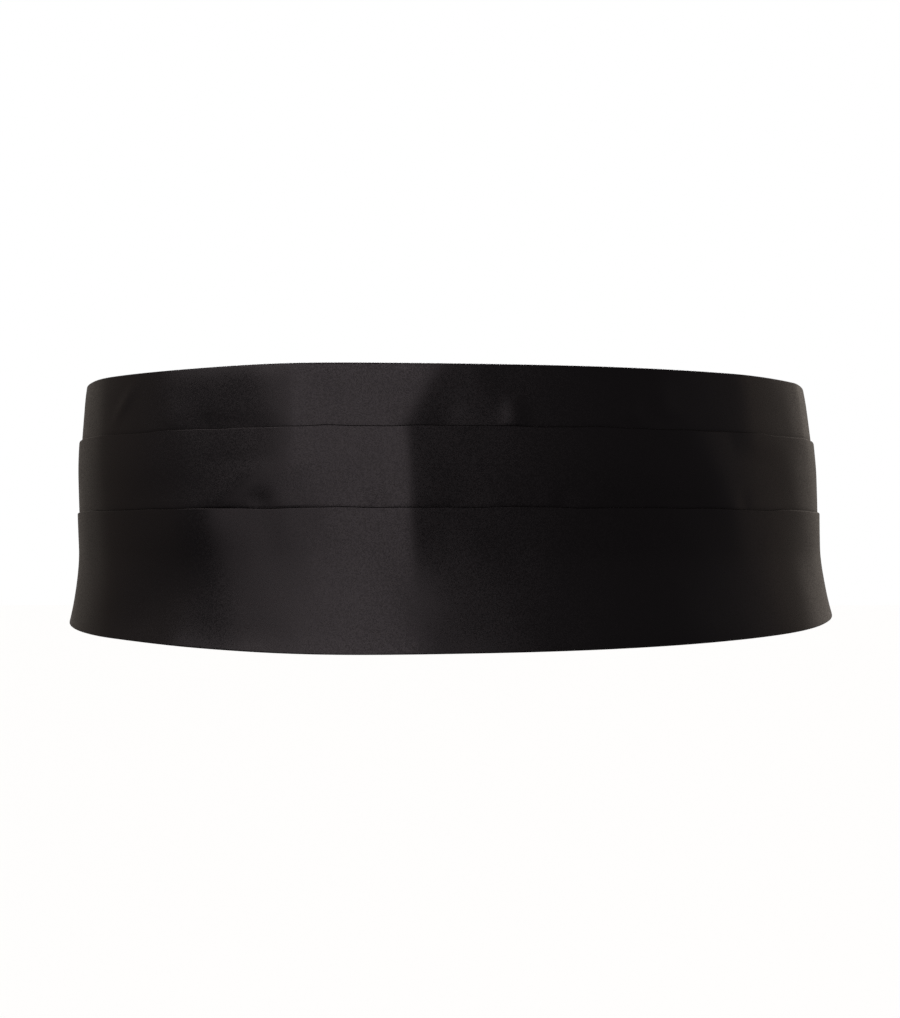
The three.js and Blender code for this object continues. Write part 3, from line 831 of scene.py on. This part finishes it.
def makeStage():
    floorMesh = bpy.data.meshes.new("paleFloor")
    bm = bmesh.new()
    bmesh.ops.create_grid(bm, x_segments=1, y_segments=1, size=stage["floorSize"])
    bmesh.ops.translate(bm, verts=bm.verts, vec=(0, 0, stage["floorHeight"]))
    bm.to_mesh(floorMesh)
    bm.free()
    floor = bpy.data.objects.new("paleFloor", floorMesh)
    bpy.context.scene.collection.objects.link(floor)
    material, tree = startMaterial("paintedBoard")  # matt white paint, evenly lit
    shader = addNode(tree, "ShaderNodeBsdfPrincipled",
                     settings={"Base Color": linearColour(stage["floorColour"]), "Roughness": 0.9,
                               "Emission Color": linearColour("#ffffff"),
                               "Emission Strength": stage["floorGlow"]})
    endMaterial(tree, shader)
    floorMesh.materials.append(material)
    floor.visible_glossy = False
    floor.visible_diffuse = False


roomLight = {  # axis of the direction, where it starts and ends on it, its strength at each
    "frontWall": ("X", -0.2, -0.9, 0.088, 0.145),
    "frontWindow": ("X", 0.55, 0.95, 0.06, 0.155),
    "sideWalls": ("X", 0.86, 0.99, 0.18, 0.26),
    "backwards": ("Y", -0.5, 0.1, 0, 1),
    "upwards": ("Z", -0.35, 0.35, 0.6, 1.4),
    "overhead": ("Z", 0.3, 0.65, 1, 0.25),
    "behind": ("Y", 0.45, 0.65, 0, 0.25),
    "aboveMiddle": ("Z", -0.12, 0.12, 0, 1),
    "onRight": ("X", 0.0, 0.4, 0, 1),
}
roomColours = {"paint": "#ffffff", "warmWalls": "#fff2e4"}


def makeSky():
    # a dim room: lighter at its sides and back, higher up, in a window at the front right and in a corner at
    # the back right, darker straight overhead, and plain white where only the camera sees it
    world = bpy.data.worlds.new("studio")
    bpy.context.scene.world = world
    world.use_nodes = True
    tree = world.node_tree
    tree.nodes.clear()
    direction = addNode(tree, "ShaderNodeTexCoord")
    parts = addNode(tree, "ShaderNodeSeparateXYZ", links={"Vector": direction.outputs["Generated"]})
    light = {}
    for name, (axis, start, end, low, high) in roomLight.items():
        ramp = addNode(tree, "ShaderNodeMapRange", links={"Value": parts.outputs[axis]},
                       settings={"From Min": start, "From Max": end, "To Min": low, "To Max": high})
        light[name] = ramp.outputs["Result"]
    front = addNode(tree, "ShaderNodeMath", operation="MAXIMUM",
                    links={0: light["frontWall"], 1: light["frontWindow"]})
    walls = addNode(tree, "ShaderNodeMix", links={"Factor": light["backwards"], "A": front.outputs["Value"],
                                                  "B": light["sideWalls"]})
    corner = addNode(tree, "ShaderNodeMath", operation="MULTIPLY",
                     links={0: light["behind"], 1: light["aboveMiddle"]})
    withCorner = addNode(tree, "ShaderNodeMath", operation="MULTIPLY_ADD",
                         links={0: corner.outputs["Value"], 1: light["onRight"], 2: walls.outputs["Result"]})
    rising = addNode(tree, "ShaderNodeMath", operation="MULTIPLY",
                     links={0: withCorner.outputs["Value"], 1: light["upwards"]})
    lit = addNode(tree, "ShaderNodeMath", operation="MULTIPLY",
                  links={0: rising.outputs["Value"], 1: light["overhead"]})
    path = addNode(tree, "ShaderNodeLightPath")
    seen = addNode(tree, "ShaderNodeMath", operation="MAXIMUM",
                   links={0: lit.outputs["Value"], 1: path.outputs["Is Camera Ray"]})
    warmth = addNode(tree, "ShaderNodeMath", operation="SUBTRACT", use_clamp=True,
                     links={0: light["backwards"], 1: path.outputs["Is Camera Ray"]})
    colour = addNode(tree, "ShaderNodeMixRGB", links={"Fac": warmth.outputs["Value"]},
                     settings={"Color1": linearColour(roomColours["paint"]),
                               "Color2": linearColour(roomColours["warmWalls"])})
    background = addNode(tree, "ShaderNodeBackground", links={"Strength": seen.outputs["Value"],
                                                              "Color": colour.outputs["Color"]})
    addNode(tree, "ShaderNodeOutputWorld", links={"Surface": background.outputs["Background"]})


softboxes = [  # name, place, size, watts, colour: each faces the garment's middle
    ("frontLeftSoftbox", (-0.47, -1.9, 0.15), (0.7, 1.6), 3.4, "#fefafa"),
    ("highLeftReflector", (-1.21, -1.35, 1.1), (1.25, 0.6), 1.5, "#fffaf4"),
    ("highFill", (-0.4, -1.75, 0.78), (1.1, 0.3), 0.62, "#fdf9fb"),
    ("leftFill", (-1.05, -1.7, 0.25), (0.5, 1.3), 0.9, "#fffaf8"),
    ("lowLeftReflector", (-1.47, -1.15, 0.8), (1.3, 0.4), 2.3, "#fdfaf8"),
    ("dimBackFill", (0.0, 1.7, 1.5), (1.0, 1.0), 34, "#ffffff"),
]


def makeLights():
    for name, place, size, watts, colour in softboxes:
        data = bpy.data.lights.new(name, "AREA")
        data.shape = "RECTANGLE"
        data.size, data.size_y = size
        data.energy = watts
        data.color = linearColour(colour)[:3]
        lamp = bpy.data.objects.new(name, data)
        lamp.location = place
        lamp.rotation_euler = (-lamp.location).to_track_quat("-Z", "Y").to_euler()
        bpy.context.scene.collection.objects.link(lamp)


def makeCamera():
    data = bpy.data.cameras.new("camera")
    data.lens = stage["lens"]
    data.sensor_width = 36
    data.clip_end = 100
    camera = bpy.data.objects.new("camera", data)
    camera.location = (stage["cameraSide"], -stage["cameraDistance"], stage["cameraHeight"])
    camera.rotation_euler = (math.pi / 2, 0, 0)
    bpy.context.scene.collection.objects.link(camera)
    bpy.context.scene.camera = camera


makeStage()
makeSky()
makeLights()
makeCamera()
bpy.context.scene.view_settings.view_transform = "Standard"
print("stage made")
